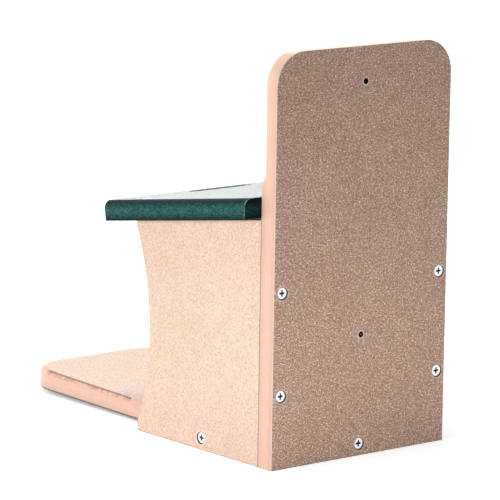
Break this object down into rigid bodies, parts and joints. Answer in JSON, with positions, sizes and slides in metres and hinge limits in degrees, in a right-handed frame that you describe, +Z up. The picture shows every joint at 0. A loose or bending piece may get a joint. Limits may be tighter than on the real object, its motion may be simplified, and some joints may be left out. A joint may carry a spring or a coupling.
{
  "type": "squirrel feeder",
  "caption": "Squirrel feeder box with a tall back board, hollowed side panels, a forward feeding tray, a sloping hinged lid and a clear window that slides in saw kerfs.",
  "frame": {"origin": "under the middle of the whole feeder, at the height of its base", "axes": "+Z up, +Y towards the wall, post or tree that the back board goes against, so the tray reaches towards -Y and +X is the box's right-hand side seen from the front"},
  "size_m": [0.2024, 0.3388, 0.313],
  "materials": {
    "tan_board": "satin",
    "green_board": "satin",
    "clear_sheet": "polished",
    "screw_steel": "satin",
    "hinge_steel": "satin"
  },
  "bodies": {
    "feeder_box": {"back_board": "tan_board", "side_panel_right": "tan_board", "side_panel_left": "tan_board", "floor_tray": "tan_board", "hinge_leaf_board": "hinge_steel", "hinge_pin": "hinge_steel", "back_screw_upper_right": "screw_steel", "back_screw_upper_left": "screw_steel", "back_screw_lower_right": "screw_steel", "back_screw_lower_left": "screw_steel", "back_floor_screw": "screw_steel", "side_floor_screw_right": "screw_steel", "side_floor_screw_left": "screw_steel", "hinge_screw_board_1": "screw_steel", "hinge_screw_board_2": "screw_steel", "hinge_screw_board_3": "screw_steel", "hinge_screw_board_4": "screw_steel"},
    "lid": {"lid_board": "green_board", "hinge_leaf_lid": "hinge_steel", "hinge_screw_lid_1": "screw_steel", "hinge_screw_lid_2": "screw_steel", "hinge_screw_lid_3": "screw_steel", "hinge_screw_lid_4": "screw_steel"},
    "window": {"window_sheet": "clear_sheet"}
  },
  "joints": [
    {"name": "lid_hinge", "type": "hinge", "parent": "feeder_box", "child": "lid", "pos_m": [0, 0.1508, 0.20728], "axis": [-1, 0, 0], "range_deg": [0, 101.3]},
    {"name": "window_slide", "type": "slide", "parent": "feeder_box", "child": "window", "axis": [0, 0, 1], "range_m": [0, 0.0115]}
  ]
}
